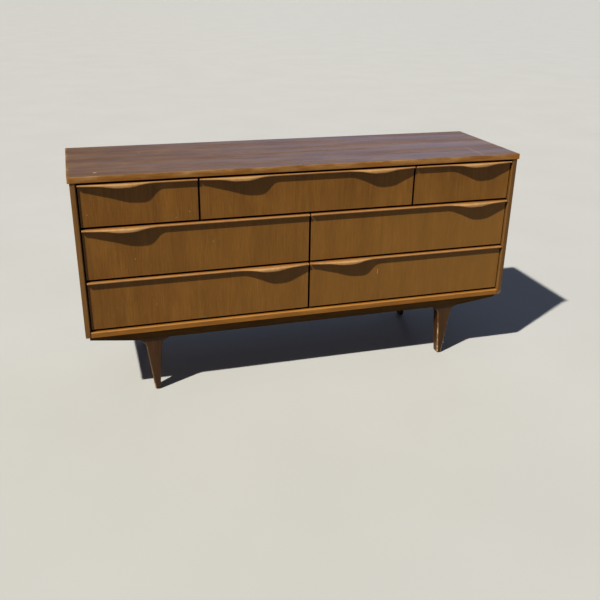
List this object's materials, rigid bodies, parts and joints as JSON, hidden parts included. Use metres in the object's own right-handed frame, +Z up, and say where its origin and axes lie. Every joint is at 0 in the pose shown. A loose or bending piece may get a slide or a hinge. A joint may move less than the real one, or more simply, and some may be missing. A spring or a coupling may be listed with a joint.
{
  "type": "dresser with drawers",
  "caption": "Long low walnut dresser on tapered legs with flared heads; three rows of sliding drawers whose top rails swell into finger pulls.",
  "frame": {"origin": "on the floor, at the middle of the overall box in plan, pulls included", "axes": "+X to the right seen from the front, along the dresser's length; the drawer fronts face -Y; +Z up"},
  "size_m": [1.575, 0.4746, 0.787],
  "materials": {
    "walnut_top": "dark walnut veneer, grain lengthwise, glossy lacquer",
    "walnut_veneer": "walnut veneer, upright grain, satin lacquer",
    "walnut_solid": "solid walnut edging, lighter, satin lacquer",
    "walnut_base": "solid walnut, dark stain, satin lacquer",
    "drawer_wood": "pale hardwood, thin clear coat",
    "frame_wood": "unfinished secondary hardwood",
    "hardboard": "thin brown back panel, matte",
    "steel": "plated steel"
  },
  "bodies": {
    "case": {"top_panel": "walnut_top", "top_edge_bands": "walnut_solid", "left_side_panel": "walnut_veneer", "right_side_panel": "walnut_veneer", "bottom_panel": "walnut_solid", "back_panel": "hardboard", "dividers": "frame_wood", "frame_rails": "frame_wood", "drawer_runners": "frame_wood", "case_screws": "steel", "base_front_apron": "walnut_base", "base_rear_apron": "walnut_base", "base_side_rails": "frame_wood", "front_left_leg": "walnut_base", "front_right_leg": "walnut_base", "rear_left_leg": "walnut_base", "rear_right_leg": "walnut_base", "floor_glides": "steel"},
    "upper_left_drawer": {"upper_left_drawer_front": "walnut_veneer", "upper_left_drawer_pull": "walnut_solid", "upper_left_drawer_sides": "drawer_wood", "upper_left_drawer_back": "drawer_wood", "upper_left_drawer_bottom": "drawer_wood", "upper_left_drawer_guide": "drawer_wood"},
    "upper_centre_drawer": {"upper_centre_drawer_front": "walnut_veneer", "upper_centre_drawer_pull": "walnut_solid", "upper_centre_drawer_sides": "drawer_wood", "upper_centre_drawer_back": "drawer_wood", "upper_centre_drawer_bottom": "drawer_wood", "upper_centre_drawer_guide": "drawer_wood"},
    "upper_right_drawer": {"upper_right_drawer_front": "walnut_veneer", "upper_right_drawer_pull": "walnut_solid", "upper_right_drawer_sides": "drawer_wood", "upper_right_drawer_back": "drawer_wood", "upper_right_drawer_bottom": "drawer_wood", "upper_right_drawer_guide": "drawer_wood"},
    "middle_left_drawer": {"middle_left_drawer_front": "walnut_veneer", "middle_left_drawer_pull": "walnut_solid", "middle_left_drawer_sides": "drawer_wood", "middle_left_drawer_back": "drawer_wood", "middle_left_drawer_bottom": "drawer_wood", "middle_left_drawer_guide": "drawer_wood"},
    "middle_right_drawer": {"middle_right_drawer_front": "walnut_veneer", "middle_right_drawer_pull": "walnut_solid", "middle_right_drawer_sides": "drawer_wood", "middle_right_drawer_back": "drawer_wood", "middle_right_drawer_bottom": "drawer_wood", "middle_right_drawer_guide": "drawer_wood"},
    "lower_left_drawer": {"lower_left_drawer_front": "walnut_veneer", "lower_left_drawer_pull": "walnut_solid", "lower_left_drawer_sides": "drawer_wood", "lower_left_drawer_back": "drawer_wood", "lower_left_drawer_bottom": "drawer_wood", "lower_left_drawer_guide": "drawer_wood"},
    "lower_right_drawer": {"lower_right_drawer_front": "walnut_veneer", "lower_right_drawer_pull": "walnut_solid", "lower_right_drawer_sides": "drawer_wood", "lower_right_drawer_back": "drawer_wood", "lower_right_drawer_bottom": "drawer_wood", "lower_right_drawer_guide": "drawer_wood"}
  },
  "joints": [
    {"name": "upper_left_drawer_slide", "type": "slide", "parent": "case", "child": "upper_left_drawer", "axis": [0, -1, 0], "range_m": [0, 0.3]},
    {"name": "upper_centre_drawer_slide", "type": "slide", "parent": "case", "child": "upper_centre_drawer", "axis": [0, -1, 0], "range_m": [0, 0.3]},
    {"name": "upper_right_drawer_slide", "type": "slide", "parent": "case", "child": "upper_right_drawer", "axis": [0, -1, 0], "range_m": [0, 0.3]},
    {"name": "middle_left_drawer_slide", "type": "slide", "parent": "case", "child": "middle_left_drawer", "axis": [0, -1, 0], "range_m": [0, 0.3]},
    {"name": "middle_right_drawer_slide", "type": "slide", "parent": "case", "child": "middle_right_drawer", "axis": [0, -1, 0], "range_m": [0, 0.3]},
    {"name": "lower_left_drawer_slide", "type": "slide", "parent": "case", "child": "lower_left_drawer", "axis": [0, -1, 0], "range_m": [0, 0.3]},
    {"name": "lower_right_drawer_slide", "type": "slide", "parent": "case", "child": "lower_right_drawer", "axis": [0, -1, 0], "range_m": [0, 0.3]}
  ]
}
